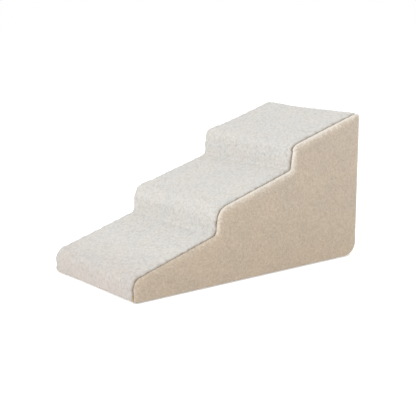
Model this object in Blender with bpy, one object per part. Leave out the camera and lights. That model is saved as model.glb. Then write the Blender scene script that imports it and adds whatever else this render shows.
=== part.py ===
"""Foam dog ramp: three sloping treads in one block, with a zipped plush cover.

Metres, +Z up, origin on the floor under the middle of the block. +X runs from the
low front lip to the tall back, and -Y is the right-hand side of a dog walking up.

The block comes apart like this: a foam core of three glued slabs, a softer foam
sheet over its treads, a thin liner bag with a flap, and a cover of six sewn panels.
The cover opens at the back with a coil zip, whose slider and pull are the moving parts.
"""

import math

import bmesh
import bpy
from mathutils import Vector

# The block
LENGTH = 0.750
WIDTH = 0.375
HEIGHT = 0.400
TREADS = 3
LIP_HEIGHT = 0.057
RISER_HEIGHT = 0.064
RISER_LEAN = 0.008
TOP_CORNER_HEIGHT = HEIGHT + 0.004
TREAD_RISE = (TOP_CORNER_HEIGHT - LIP_HEIGHT - (TREADS - 1) * RISER_HEIGHT) / TREADS

# Roundings of the side outline
FRONT_BOTTOM_RADIUS = 0.010
LIP_RADIUS = 0.028
NOSING_RADII = (0.042, 0.022)
INNER_RADIUS = 0.012
BACK_TOP_RADIUS = 0.012
BACK_BOTTOM_RADIUS = 0.038
ARC_STEP = math.radians(13)
SMALLEST_RADIUS = 0.0008

# Layers, from the outside in
GAP = 0.0003
GRIP_THICKNESS = 0.0012
COVER_FLOOR = GRIP_THICKNESS + GAP
TREAD_PANEL_THICKNESS = 0.005
SIDE_PANEL_THICKNESS = 0.004
BACK_PANEL_THICKNESS = 0.0035
BASE_PANEL_THICKNESS = 0.004
LINER_THICKNESS = 0.0008
LINER_FLAP_THICKNESS = 0.0006
COMFORT_THICKNESS = 0.025

# The side seam, where a side panel turns over the edge to meet its neighbours
SIDE_RETURN = 0.010
SIDE_RETURN_THICKNESS = 0.0045
SHOULDER_RADIUS = 0.007
SHOULDER_STEPS = 4
GROOVE_DEPTH = 0.0024
THREAD_RADIUS = 0.0007
THREAD_DEPTH = 0.0012
THREAD_SIDES = 8
TURN_PAST_CORNER = 0.006

# Core slabs
SLAB_TOPS = (0.125, 0.245)

# The zip across the back
ZIP_HEIGHT = 0.065
ZIP_WINDOW = 0.014
ZIP_HALF_LENGTH = 0.168
ZIP_MIDDLE_GAP = 0.0011
TAPE_WIDTH = 0.0144
TAPE_THICKNESS = 0.0006
TEETH_WIDTH = 0.0024
TEETH_HEIGHT = 0.0020
STOP_LENGTH = 0.003
SLIDER_LENGTH = 0.012
SLIDER_NOSE_HALF_WIDTH = 0.0052
SLIDER_TAIL_HALF_WIDTH = 0.0044
SLIDER_PLATE = 0.0012
SLIDER_BACK_PLATE = 0.0010
SLIDER_WEDGE = 0.0005
CROWN_LENGTH = 0.0092
CROWN_WIDTH = 0.0020
CROWN_THICKNESS = 0.0010
CROWN_ROOM = 0.0018
PULL_THICKNESS = 0.0010
PULL_LENGTH = 0.030
PULL_HALF_WIDTH = 0.0035
PULL_LIFT = 0.0004

# Places worked out from the sizes above
HALF_LENGTH = LENGTH / 2
HALF_WIDTH = WIDTH / 2
PANEL_HALF_WIDTH = HALF_WIDTH - SIDE_RETURN - GAP
LINER_OFFSET = TREAD_PANEL_THICKNESS + GAP
FOAM_OFFSET = LINER_OFFSET + LINER_THICKNESS + GAP
CORE_OFFSET = FOAM_OFFSET + COMFORT_THICKNESS + GAP
FOAM_FLOOR = COVER_FLOOR + FOAM_OFFSET
LINER_HALF_WIDTH = HALF_WIDTH - SIDE_PANEL_THICKNESS - GAP
FOAM_HALF_WIDTH = LINER_HALF_WIDTH - LINER_THICKNESS - GAP
TAPE_FACE = HALF_LENGTH - BACK_PANEL_THICKNESS - GAP
SLIDER_BACK = TAPE_FACE - TAPE_THICKNESS - GAP - SLIDER_BACK_PLATE
LINER_BACK = SLIDER_BACK - 2 * GAP - LINER_FLAP_THICKNESS
LINED_HALF_LENGTH = LINER_BACK + LINER_OFFSET
FOAM_BACK = LINED_HALF_LENGTH - FOAM_OFFSET
SLIDER_REST_Y = ZIP_HALF_LENGTH - STOP_LENGTH - GAP - SLIDER_LENGTH / 2

PLUSH_WHITE = ("plush_white", (0.71, 0.68, 0.64), 0.95, 0.0)
TEDDY_BEIGE = ("teddy_beige", (0.56, 0.46, 0.36), 0.95, 0.0)
BASE_CLOTH = ("base_cloth", (0.42, 0.38, 0.33), 0.9, 0.0)
GRIP_RUBBER = ("grip_rubber", (0.60, 0.57, 0.52), 0.6, 0.0)
FOAM_FIRM = ("foam_firm", (0.80, 0.80, 0.82), 1.0, 0.0)
FOAM_SOFT = ("foam_soft", (0.86, 0.82, 0.62), 1.0, 0.0)
LINER_CLOTH = ("liner_cloth", (0.85, 0.85, 0.85), 0.8, 0.0)
SEAM_THREAD = ("seam_thread", (0.38, 0.28, 0.17), 0.7, 0.0)
ZIP_TAPE = ("zip_tape", (0.55, 0.46, 0.36), 0.9, 0.0)
ZIP_NYLON = ("zip_nylon", (0.52, 0.44, 0.34), 0.45, 0.0)
ZIP_METAL = ("zip_metal", (0.62, 0.58, 0.50), 0.35, 1.0)
LABEL_SATIN = ("label_satin", (0.88, 0.87, 0.84), 0.5, 0.0)


def clear_scene():
    for old in list(bpy.data.objects):
        bpy.data.objects.remove(old)


def material(finish):
    """The Principled material for a (name, colour, roughness, metallic) finish."""
    name, colour, roughness, metallic = finish
    found = bpy.data.materials.get(name)
    if found is None:
        found = bpy.data.materials.new(name)
        found.use_nodes = True
        shader = found.node_tree.nodes["Principled BSDF"]
        shader.inputs["Base Color"].default_value = (*colour, 1.0)
        shader.inputs["Roughness"].default_value = roughness
        shader.inputs["Metallic"].default_value = metallic
    return found


def add_object(name, mesh, finish, parent=None):
    mesh.materials.append(material(finish))
    made = bpy.data.objects.new(name, mesh)
    bpy.context.scene.collection.objects.link(made)
    if parent is not None:
        made.parent = parent
    return made


def loft(name, rings, finish, parent=None, joined_ends=False):
    """A closed solid through rings of equal count: capped, or joined end to end."""
    bm = bmesh.new()
    rows = [[bm.verts.new(p) for p in ring] for ring in rings]
    pairs = list(zip(rows, rows[1:]))
    if joined_ends:
        pairs.append((rows[-1], rows[0]))
    else:
        bm.faces.new(rows[0])
        bm.faces.new(rows[-1])
    for low, high in pairs:
        for i in range(len(low)):
            j = (i + 1) % len(low)
            bm.faces.new((low[i], low[j], high[j], high[i]))
    bmesh.ops.recalc_face_normals(bm, faces=bm.faces)
    mesh = bpy.data.meshes.new(name)
    bm.to_mesh(mesh)
    bm.free()
    return add_object(name, mesh, finish, parent)


def box(name, low, high, finish):
    corners = ((low[0], low[2]), (high[0], low[2]), (high[0], high[2]), (low[0], high[2]))
    return loft(name, [across(corners, y) for y in (low[1], high[1])], finish)


def across(outline, y):
    """An (x, z) outline as a ring of points at one place across the width."""
    return [Vector((x, y, z)) for x, z in outline]


# The side outline


def outline_corners(back_x=HALF_LENGTH):
    """(x, z, radius) of each corner: up the lip, over the treads, down the back."""
    run = LENGTH / TREADS
    corners = [(-HALF_LENGTH, COVER_FLOOR, FRONT_BOTTOM_RADIUS)]
    corners.append((-HALF_LENGTH, LIP_HEIGHT, LIP_RADIUS))
    foot = LIP_HEIGHT + TREAD_RISE
    for step, nosing_radius in enumerate(NOSING_RADII, start=1):
        x = -HALF_LENGTH + step * run
        corners.append((x - RISER_LEAN / 2, foot, INNER_RADIUS))
        corners.append((x + RISER_LEAN / 2, foot + RISER_HEIGHT, nosing_radius))
        foot += RISER_HEIGHT + TREAD_RISE
    slope = TREAD_RISE / (HALF_LENGTH - corners[-1][0])
    top = TOP_CORNER_HEIGHT - (HALF_LENGTH - back_x) * slope
    corners.append((back_x, top, BACK_TOP_RADIUS))
    corners.append((back_x, COVER_FLOOR, BACK_BOTTOM_RADIUS))
    return corners


def directions(corners, index):
    """The outline's unit directions into and out of a corner."""
    corner = Vector(corners[index][:2])
    before = Vector(corners[index - 1][:2])
    after = Vector(corners[(index + 1) % len(corners)][:2])
    return (corner - before).normalized(), (after - corner).normalized()


def moved_corner(corners, index, offset):
    """Where a corner goes, unrounded, when the outline moves inwards by offset."""
    arriving, leaving = directions(corners, index)
    inward = Vector((arriving.y, -arriving.x)) + Vector((leaving.y, -leaving.x))
    return Vector(corners[index][:2]) + inward * offset / (1 + arriving.dot(leaving))


def fillet(corners, index, offset):
    """Points of one rounded corner of the outline, the outline moved inwards by offset."""
    arriving, leaving = directions(corners, index)
    turn = arriving.cross(leaving)
    angle = math.asin(min(1.0, abs(turn)))
    if arriving.dot(leaving) < 0:
        angle = math.pi - angle
    side = 1 if turn < 0 else -1
    radius = max(corners[index][2] - side * offset, SMALLEST_RADIUS)
    corner = moved_corner(corners, index, offset)
    start = corner - arriving * radius * math.tan(angle / 2)
    centre = start + Vector((arriving.y, -arriving.x)) * side * radius
    steps = max(2, round(angle / ARC_STEP))
    points = []
    for i in range(steps + 1):
        swept = -side * angle * i / steps
        arm = start - centre
        turned = Vector((
            arm.x * math.cos(swept) - arm.y * math.sin(swept),
            arm.x * math.sin(swept) + arm.y * math.cos(swept),
        ))
        points.append(tuple(centre + turned))
    return points


def rounded_line(corners, first, last, offset):
    """The rounded outline from one corner to another, moved inwards by offset."""
    points = []
    for index in range(first, last + 1):
        points += fillet(corners, index, offset)
    return points


def whole_outline(offset, corners=None):
    corners = corners or outline_corners()
    return rounded_line(corners, 0, len(corners) - 1, offset)


# The three seams across the cover, each on the straight just past a rounded corner
FRONT_SEAM_X = -HALF_LENGTH + FRONT_BOTTOM_RADIUS + TURN_PAST_CORNER
BACK_SEAM_X = HALF_LENGTH - BACK_BOTTOM_RADIUS - TURN_PAST_CORNER
TOP_SEAM_Z = fillet(outline_corners(), -2, 0.0)[-1][1] - TURN_PAST_CORNER


def tread_line(offset):
    """From under the front edge, up the lip and over the treads, to the top of the back."""
    corners = outline_corners()
    start = (FRONT_SEAM_X - GAP / 2, COVER_FLOOR + offset)
    end = (HALF_LENGTH - offset, TOP_SEAM_Z + GAP / 2)
    return [start] + rounded_line(corners, 0, len(corners) - 2, offset) + [end]


def back_line(offset):
    """Straight down the back, from under the tread panel to the zip."""
    x = HALF_LENGTH - offset
    return [(x, TOP_SEAM_Z - GAP / 2), (x, ZIP_HEIGHT + ZIP_WINDOW / 2)]


def back_strip_line(offset):
    """From the zip down and round the lower back edge to the base."""
    top = (HALF_LENGTH - offset, ZIP_HEIGHT - ZIP_WINDOW / 2)
    end = (BACK_SEAM_X + GAP / 2, COVER_FLOOR + offset)
    return [top] + fillet(outline_corners(), -1, offset) + [end]


def base_line(offset):
    z = COVER_FLOOR + offset
    return [(BACK_SEAM_X - GAP / 2, z), (FRONT_SEAM_X + GAP / 2, z)]


# Foam and liner


def clip_level(outline, level, keep_above):
    """The part of an (x, z) outline above or below a level."""
    kept = []
    for (x0, z0), (x1, z1) in zip(outline, outline[1:] + outline[:1]):
        inside0 = (z0 >= level) == keep_above
        inside1 = (z1 >= level) == keep_above
        if inside0:
            kept.append((x0, z0))
        if inside0 != inside1:
            share = (level - z0) / (z1 - z0)
            kept.append((x0 + share * (x1 - x0), level))
    return kept


def under_comfort_line(offset):
    """The underside of the soft foam: up the front, over the treads, to the foam's back."""
    corners = outline_corners(FOAM_BACK + offset)
    last = len(corners) - 2
    line = rounded_line(corners, 1, last - 1, offset)
    return [(line[0][0], FOAM_FLOOR)] + line + [tuple(moved_corner(corners, last, offset))]


def add_core():
    """Three slabs of firm foam, cut to the stepped outline under the soft foam."""
    rounded = fillet(outline_corners(LINED_HALF_LENGTH), -1, FOAM_OFFSET)
    outline = under_comfort_line(CORE_OFFSET) + rounded
    levels = [0.0, *SLAB_TOPS, HEIGHT]
    names = ("foam_base_slab", "foam_middle_slab", "foam_top_slab")
    for name, low, high in zip(names, levels, levels[1:]):
        part = clip_level(outline, low + GAP, True)
        part = clip_level(part, high, False)
        loft(name, [across(part, y) for y in (-FOAM_HALF_WIDTH, FOAM_HALF_WIDTH)], FOAM_FIRM)


def add_comfort_foam():
    """The softer sheet under the paws, bent over the lip, the treads and the risers."""
    corners = outline_corners(LINED_HALF_LENGTH)
    outer = rounded_line(corners, 0, len(corners) - 2, FOAM_OFFSET)
    outline = outer + under_comfort_line(CORE_OFFSET - GAP)[::-1]
    rings = [across(outline, y) for y in (-FOAM_HALF_WIDTH, FOAM_HALF_WIDTH)]
    loft("comfort_foam", rings, FOAM_SOFT)


def boolean_cut(target, cutter):
    cutter.hide_render = True
    cutter.display_type = "WIRE"
    cut = target.modifiers.new("cut_" + cutter.name, "BOOLEAN")
    cut.operation = "DIFFERENCE"
    cut.object = cutter


def add_liner():
    """A thin bag over the foam, with a mouth in its back that the flap closes."""
    corners = outline_corners(LINED_HALF_LENGTH)
    outer = whole_outline(LINER_OFFSET, corners)
    inner = whole_outline(LINER_OFFSET + LINER_THICKNESS, corners)
    inside = LINER_HALF_WIDTH - LINER_THICKNESS
    ends = (-LINER_HALF_WIDTH, LINER_HALF_WIDTH)
    bag = loft("liner_bag", [across(outer, y) for y in ends], LINER_CLOTH)
    hollow = loft("liner_hollow", [across(inner, y) for y in (-inside, inside)], LINER_CLOTH)
    mouth_low = Vector((LINER_BACK - 0.010, -0.130, 0.110))
    mouth_high = Vector((LINER_BACK + 0.010, 0.130, 0.330))
    mouth = box("liner_mouth", mouth_low, mouth_high, LINER_CLOTH)
    boolean_cut(bag, hollow)
    boolean_cut(bag, mouth)
    lap = 0.015
    box(
        "liner_flap",
        (LINER_BACK + GAP, mouth_low.y - lap, mouth_low.z - lap),
        (LINER_BACK + GAP + LINER_FLAP_THICKNESS, mouth_high.y + lap, mouth_high.z + lap),
        LINER_CLOTH,
    )


# Cover


def panel_outline(line, depth, thickness):
    """A panel's section, its outer face at depth and both its ends chamfered for a seam."""
    outer = [Vector(p) for p in line(depth)]
    outer[0] += (outer[1] - outer[0]).normalized() * GROOVE_DEPTH
    outer[-1] += (outer[-2] - outer[-1]).normalized() * GROOVE_DEPTH
    in_groove = line(GROOVE_DEPTH)
    return [in_groove[0], *outer, in_groove[-1], *line(thickness)[::-1]]


def add_panel(name, line, thickness, finish):
    """A cover panel between the side panels, all four of its edges chamfered."""
    rings = []
    for y, depth in (
        (-PANEL_HALF_WIDTH, GROOVE_DEPTH),
        (-PANEL_HALF_WIDTH + GROOVE_DEPTH, 0.0),
        (PANEL_HALF_WIDTH - GROOVE_DEPTH, 0.0),
        (PANEL_HALF_WIDTH, GROOVE_DEPTH),
    ):
        rings.append(across(panel_outline(line, depth, thickness), y))
    loft(name, rings, finish)


def add_side_panel(name, side):
    """A side of the cover: a flat face with a soft shoulder turned in all round it."""
    edge = HALF_WIDTH - SIDE_RETURN
    sections = [
        (SIDE_RETURN_THICKNESS, HALF_WIDTH - SIDE_PANEL_THICKNESS),
        (SIDE_RETURN_THICKNESS, edge),
        (GROOVE_DEPTH, edge),
        (0.0, edge + GROOVE_DEPTH),
    ]
    for i in range(SHOULDER_STEPS + 1):
        angle = math.pi / 2 * i / SHOULDER_STEPS
        offset = SHOULDER_RADIUS * (1 - math.cos(angle))
        sections.append((offset, HALF_WIDTH - SHOULDER_RADIUS * (1 - math.sin(angle))))
    rings = [across(whole_outline(offset), side * y) for offset, y in sections]
    loft(name, rings, TEDDY_BEIGE)


def add_seam_thread(name, side):
    """The thread that closes a side seam, laid in the groove all the way round."""
    y = side * (HALF_WIDTH - SIDE_RETURN - GAP / 2)
    rings = []
    for step in range(THREAD_SIDES):
        angle = 2 * math.pi * step / THREAD_SIDES
        depth = THREAD_DEPTH + THREAD_RADIUS * math.cos(angle)
        rings.append(across(whole_outline(depth), y + THREAD_RADIUS * math.sin(angle)))
    loft(name, rings, SEAM_THREAD, joined_ends=True)


def add_cross_thread(name, x, z):
    """The thread of a seam straight across the cover, between the two side seams."""
    rings = []
    for side in (-1, 1):
        ring = []
        for step in range(THREAD_SIDES):
            angle = 2 * math.pi * step / THREAD_SIDES
            rise = THREAD_RADIUS * math.sin(angle)
            y = side * (PANEL_HALF_WIDTH - GROOVE_DEPTH)
            ring.append(Vector((x + THREAD_RADIUS * math.cos(angle), y, z + rise)))
        rings.append(ring)
    loft(name, rings, SEAM_THREAD)


def add_cover():
    add_panel("tread_panel", tread_line, TREAD_PANEL_THICKNESS, PLUSH_WHITE)
    add_panel("back_panel", back_line, BACK_PANEL_THICKNESS, TEDDY_BEIGE)
    add_panel("back_strip", back_strip_line, BACK_PANEL_THICKNESS, TEDDY_BEIGE)
    add_panel("base_panel", base_line, BASE_PANEL_THICKNESS, BASE_CLOTH)
    for name, side in (("right", -1), ("left", 1)):
        add_side_panel(name + "_side_panel", side)
        add_seam_thread(name + "_seam_thread", side)
    add_cross_thread("top_seam_thread", HALF_LENGTH - THREAD_DEPTH, TOP_SEAM_Z)
    add_cross_thread("front_seam_thread", FRONT_SEAM_X, COVER_FLOOR + THREAD_DEPTH)
    add_cross_thread("base_seam_thread", BACK_SEAM_X, COVER_FLOOR + THREAD_DEPTH)


def add_grip_sheet():
    """The layer of grip under the base, which the ramp stands on."""
    margin = 0.012
    low = (FRONT_SEAM_X + margin, -PANEL_HALF_WIDTH + margin, 0.0)
    high = (BACK_SEAM_X - margin, PANEL_HALF_WIDTH - margin, GRIP_THICKNESS)
    box("grip_sheet", low, high, GRIP_RUBBER)


def add_care_label():
    """A blank satin tab sewn into the left seam, below the zip."""
    face = HALF_LENGTH + GAP
    low = (face, PANEL_HALF_WIDTH - 0.030, ZIP_HEIGHT - ZIP_WINDOW / 2 - 0.021)
    high = (face + 0.0006, PANEL_HALF_WIDTH, ZIP_HEIGHT - ZIP_WINDOW / 2 - 0.001)
    box("care_label", low, high, LABEL_SATIN)


# Zip


def add_zip_chain():
    """Two tapes and two rows of teeth, with stops at both ends."""
    tape_end = HALF_WIDTH - SIDE_RETURN - GAP
    teeth_base = TAPE_FACE + GAP
    for name, side in (("upper", 1), ("lower", -1)):
        near = ZIP_HEIGHT + side * ZIP_MIDDLE_GAP / 2
        tape = sorted((near, ZIP_HEIGHT + side * TAPE_WIDTH))
        box(
            "zip_tape_" + name,
            (TAPE_FACE - TAPE_THICKNESS, -tape_end, tape[0]),
            (TAPE_FACE, tape_end, tape[1]),
            ZIP_TAPE,
        )
        teeth = sorted((near, near + side * TEETH_WIDTH))
        teeth_end = ZIP_HALF_LENGTH - STOP_LENGTH - GAP
        box(
            "zip_teeth_" + name,
            (teeth_base, -teeth_end, teeth[0]),
            (teeth_base + TEETH_HEIGHT, teeth_end, teeth[1]),
            ZIP_NYLON,
        )
        box(
            "zip_top_stop_" + name,
            (teeth_base, ZIP_HALF_LENGTH - STOP_LENGTH, teeth[0]),
            (teeth_base + TEETH_HEIGHT, ZIP_HALF_LENGTH, teeth[1]),
            ZIP_METAL,
        )
    reach = ZIP_MIDDLE_GAP / 2 + TEETH_WIDTH
    box(
        "zip_bottom_stop",
        (teeth_base, -ZIP_HALF_LENGTH, ZIP_HEIGHT - reach),
        (teeth_base + TEETH_HEIGHT, -ZIP_HALF_LENGTH + STOP_LENGTH, ZIP_HEIGHT + reach),
        ZIP_METAL,
    )


def slider_section(half_width):
    """(x, z) outline of the slider: two plates on a wedge, with flanges over the teeth."""
    wedge = SLIDER_WEDGE / 2
    flange = ZIP_MIDDLE_GAP / 2 + TEETH_WIDTH + GAP
    plate_in = TAPE_FACE + GAP + TEETH_HEIGHT + GAP
    plate_out = plate_in + SLIDER_PLATE
    flange_tip = TAPE_FACE + GAP
    back_out = TAPE_FACE - TAPE_THICKNESS - GAP
    half = [
        (plate_out, half_width - SLIDER_PLATE / 2),
        (plate_out - SLIDER_PLATE / 2, half_width),
        (flange_tip, half_width),
        (flange_tip, flange),
        (plate_in, flange),
        (plate_in, wedge),
        (back_out, wedge),
        (back_out, half_width),
        (SLIDER_BACK, half_width),
    ]
    mirrored = [(x, -z) for x, z in reversed(half)]
    return [(x, ZIP_HEIGHT + z) for x, z in half + mirrored]


def add_slider():
    """The slider's body, lofted along the zip from its narrow tail to its wide nose."""
    axis = bpy.data.objects.new("slider_frame", None)
    axis.location = (HALF_LENGTH, SLIDER_REST_Y, ZIP_HEIGHT)
    bpy.context.scene.collection.objects.link(axis)
    tail, nose = SLIDER_TAIL_HALF_WIDTH, SLIDER_NOSE_HALF_WIDTH
    stations = ((-0.5, tail - 0.0003), (-0.4, tail), (0.1, nose), (0.38, nose), (0.5, tail))
    rings = []
    for share, half_width in stations:
        ring = across(slider_section(half_width), SLIDER_REST_Y + share * SLIDER_LENGTH)
        rings.append([p - axis.location for p in ring])
    loft("zip_slider", rings, ZIP_METAL, parent=axis)
    return axis


def add_crown(axis):
    """The bridge on the slider that holds the pull, an arch along the zip."""
    base = TAPE_FACE + GAP + TEETH_HEIGHT + GAP + SLIDER_PLATE + GAP - HALF_LENGTH
    room = CROWN_ROOM
    top = room + CROWN_THICKNESS
    out, inner = CROWN_LENGTH / 2, CROWN_LENGTH / 2 - CROWN_THICKNESS
    slope = CROWN_THICKNESS * 1.2
    arch = [(-out, base), (-out, top - slope), (-out + slope, top)]
    arch += [(-y, x) for y, x in reversed(arch)]
    under = [(inner, base), (inner, room - slope / 2), (inner - slope / 2, room)]
    arch += under + [(-y, x) for y, x in reversed(under)]
    half = CROWN_WIDTH / 2
    rings = [[Vector((x, y, z)) for y, x in arch] for z in (-half, half)]
    loft("slider_crown", rings, ZIP_METAL, parent=axis)


def add_pull(axis):
    """The pull: a flat tab whose eye goes round the crown, its bar on the hinge axis."""
    hinge = bpy.data.objects.new("pull_frame", None)
    hinge.location = (PULL_LIFT + PULL_THICKNESS / 2, 0.0, 0.0)
    hinge.parent = axis
    bpy.context.scene.collection.objects.link(hinge)
    eye_half = CROWN_WIDTH / 2 + 0.00035
    bar = PULL_THICKNESS / 2
    eye_end = CROWN_LENGTH / 2 + 0.0008
    neck = eye_half + 0.0011
    wide = PULL_HALF_WIDTH
    half = PULL_THICKNESS / 2
    outer = [(bar, neck), (-eye_end, neck), (-eye_end - 0.004, wide)]
    tip_centre = -PULL_LENGTH + wide
    for i in range(7):
        angle = math.pi / 2 * i / 6
        outer.append((tip_centre - wide * math.sin(angle), wide * math.cos(angle)))
    outer += [(y, -z) for y, z in reversed(outer[:-1])]
    rings = [[Vector((x, y, z)) for y, z in outer] for x in (-half, half)]
    pull = loft("zip_pull", rings, ZIP_METAL, parent=hinge)
    reach = 2 * PULL_THICKNESS
    eye = [(-bar, eye_half), (-eye_end, eye_half), (-eye_end, -eye_half), (-bar, -eye_half)]
    eye_rings = [[Vector((x, y, z)) for y, z in eye] for x in (-reach, reach)]
    boolean_cut(pull, loft("pull_eye", eye_rings, ZIP_METAL, parent=hinge))
    slot_near, slot_far = -eye_end - 0.006, -PULL_LENGTH + 0.0045
    slot_half = 0.0013
    slot = [(slot_near, slot_half), (slot_far, slot_half), (slot_far, -slot_half)]
    slot.append((slot_near, -slot_half))
    slot_rings = [[Vector((x, y, z)) for y, z in slot] for x in (-reach, reach)]
    boolean_cut(pull, loft("pull_slot", slot_rings, ZIP_METAL, parent=hinge))


def shade_round_pieces():
    """Smooth shading, with edges over 30 degrees kept sharp."""
    for made in bpy.data.objects:
        if made.type == "MESH":
            made.data.shade_smooth()
            made.data.set_sharp_from_angle(angle=math.radians(30))


def build():
    clear_scene()
    add_core()
    add_comfort_foam()
    add_liner()
    add_cover()
    add_grip_sheet()
    add_care_label()
    add_zip_chain()
    axis = add_slider()
    add_crown(axis)
    add_pull(axis)
    shade_round_pieces()


build()
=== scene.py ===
# %% [markdown]
# # A foam dog ramp in a plush cover
#
# This lesson dresses a finished model of a pet ramp. The model already has every piece
# at its real size: a foam core, a liner, a sewn cover and a zip. What it lacks is the
# cloth. Here each piece of the cover is made again as a soft surface with a pile, a
# rolled edge and a seam, and every finish is built from nodes.
#
# Units are metres and +Z is up. The low front lip is towards -X, the tall back towards
# +X, and the ramp stands on the floor at z = 0.

# %% Load the model
import itertools

import bmesh
import bpy
import numpy as np
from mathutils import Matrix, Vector


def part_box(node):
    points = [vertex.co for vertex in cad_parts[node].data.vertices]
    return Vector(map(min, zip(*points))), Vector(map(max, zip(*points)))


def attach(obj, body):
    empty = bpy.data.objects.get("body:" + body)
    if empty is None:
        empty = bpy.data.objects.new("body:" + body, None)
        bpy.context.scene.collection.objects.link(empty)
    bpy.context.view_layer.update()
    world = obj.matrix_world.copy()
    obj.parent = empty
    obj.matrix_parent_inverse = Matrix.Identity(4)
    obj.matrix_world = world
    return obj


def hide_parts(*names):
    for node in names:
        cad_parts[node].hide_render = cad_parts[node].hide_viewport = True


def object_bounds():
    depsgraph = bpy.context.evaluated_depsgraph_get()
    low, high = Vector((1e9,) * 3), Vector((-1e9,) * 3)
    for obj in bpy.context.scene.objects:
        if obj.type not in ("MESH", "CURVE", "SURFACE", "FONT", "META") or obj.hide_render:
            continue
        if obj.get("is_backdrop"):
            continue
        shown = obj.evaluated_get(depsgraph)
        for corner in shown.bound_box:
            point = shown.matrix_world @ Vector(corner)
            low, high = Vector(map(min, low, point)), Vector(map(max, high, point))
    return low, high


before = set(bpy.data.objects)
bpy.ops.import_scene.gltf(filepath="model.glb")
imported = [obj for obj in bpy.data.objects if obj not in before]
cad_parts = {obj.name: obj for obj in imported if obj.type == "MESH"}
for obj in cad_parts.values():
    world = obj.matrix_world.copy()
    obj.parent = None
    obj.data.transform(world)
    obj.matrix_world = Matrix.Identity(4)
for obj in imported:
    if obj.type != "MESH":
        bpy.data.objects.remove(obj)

CAD_BOX = [list(corner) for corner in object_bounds()]
print("box of the whole ramp:", [[round(x, 4) for x in corner] for corner in CAD_BOX])

# %% [markdown]
# ## Sizes
#
# The places of the pieces are read from the model, so this script can't drift away
# from it. Only the shape of the stepped side, which no box can give, is written out:
# one row for each corner, with the radius it is rounded to.

# %% Sizes read from the model
MM = 0.001
RAMP_HEIGHT = 0.4

side_low, side_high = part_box("right_side_panel")
HALF_LENGTH = side_high[0]
HALF_WIDTH = -side_low[1]
COVER_FLOOR = side_low[2]
PANEL_HALF_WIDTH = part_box("tread_panel")[1][1]
SIDE_EDGE = HALF_WIDTH - 10 * MM
SEAM_Y = (SIDE_EDGE + PANEL_HALF_WIDTH) / 2
FRONT_SEAM_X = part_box("base_panel")[0][0]
TOP_SEAM_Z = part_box("back_panel")[1][2]
WINDOW_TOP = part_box("back_panel")[0][2]
WINDOW_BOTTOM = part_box("back_strip")[1][2]
ZIP_Z = (WINDOW_TOP + WINDOW_BOTTOM) / 2
BACK_SEAM_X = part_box("base_panel")[1][0]
print(f"block: {2 * HALF_LENGTH:.3f} long, {2 * HALF_WIDTH:.3f} wide; zip at {ZIP_Z:.3f}")

# %% The corners of the stepped side
# Each row is x, z and the radius of its rounding, from the front foot up and over.
LIP_TOP = 0.057
TREAD_RISE = 0.073
RISER = 0.064
LEAN = 0.004
RUN = 2 * HALF_LENGTH / 3

first_foot = LIP_TOP + TREAD_RISE
second_foot = first_foot + RISER + TREAD_RISE
CORNERS = np.array([
    (-HALF_LENGTH, COVER_FLOOR, 0.010),
    (-HALF_LENGTH, LIP_TOP, 0.028),
    (-HALF_LENGTH + RUN - LEAN, first_foot, 0.012),
    (-HALF_LENGTH + RUN + LEAN, first_foot + RISER, 0.042),
    (-HALF_LENGTH + 2 * RUN - LEAN, second_foot, 0.012),
    (-HALF_LENGTH + 2 * RUN + LEAN, second_foot + RISER, 0.022),
    (HALF_LENGTH, second_foot + RISER + TREAD_RISE, 0.012),
    (HALF_LENGTH, COVER_FLOOR, 0.038),
])
print("corners of the side outline:", len(CORNERS))

# %% [markdown]
# ## The outline as a path
#
# Nearly every piece of this cover follows the side outline: the tread cloth lies along
# it, the side cloth rolls over it, the seams run beside it. So it is made once, as a
# path: for any distance along it, where the point is and which way is out. Every
# surface below is then a profile carried along that path.

# %% A path with rounded corners
def rounded_path(corners, step=0.25 * MM):
    """Points and outward normals along a closed outline of (x, z, radius) corners.

    Each corner becomes an arc that touches both its sides. It starts radius times
    tan(half the turn) before the corner, and its centre is one radius inwards from
    there, or outwards where the outline turns the other way.
    """
    points, normals = [], []
    for i, (x, z, radius) in enumerate(corners):
        corner = np.array((x, z))
        arrive = corner - corners[i - 1, :2]
        leave = corners[(i + 1) % len(corners), :2] - corner
        arrive, leave = arrive / np.linalg.norm(arrive), leave / np.linalg.norm(leave)
        turn = np.arctan2(arrive[0] * leave[1] - arrive[1] * leave[0], arrive @ leave)
        out = np.array((-arrive[1], arrive[0]))
        side = -np.sign(turn)
        start = corner - arrive * radius * np.tan(abs(turn) / 2)
        centre = start - out * side * radius
        swept = np.linspace(0, turn, max(int(radius * abs(turn) / step), 8))
        normal = np.stack((
            out[0] * np.cos(swept) - out[1] * np.sin(swept),
            out[0] * np.sin(swept) + out[1] * np.cos(swept),
        ), axis=1)
        points.append(centre + side * radius * normal)
        normals.append(normal)
    return np.concatenate(points), np.concatenate(normals)


def start_on_base(points, normals):
    """The closed path cut open at the middle of its base, where no seam or corner is."""
    out = normals[0][None]
    middle = np.array([[0.0, COVER_FLOOR]])
    return np.concatenate((middle, points, middle)), np.concatenate((out, normals, out))


path_points, path_normals = start_on_base(*rounded_path(CORNERS))
path_steps = np.linalg.norm(np.diff(path_points, axis=0), axis=1)
path_s = np.concatenate(((0.0,), np.cumsum(path_steps)))
PATH_LENGTH = path_s[-1]
print(f"round the whole side is {PATH_LENGTH:.3f} m")

# %% Reading the path
def on_path(s):
    """The points and outward normals at distances s, by straight lines between points."""
    s = np.mod(s, PATH_LENGTH)
    point = [np.interp(s, path_s, path_points[:, k]) for k in (0, 1)]
    normal = [np.interp(s, path_s, path_normals[:, k]) for k in (0, 1)]
    return np.stack(point, axis=-1), np.stack(normal, axis=-1)


def nearest_s(x, z):
    """The distance along the path at which it passes closest to a point."""
    return path_s[np.argmin(np.linalg.norm(path_points - (x, z), axis=1))]


S_BACK_TOP = path_s[np.argmax(path_points[:, 1])]
down_the_back = path_s >= S_BACK_TOP


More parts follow.
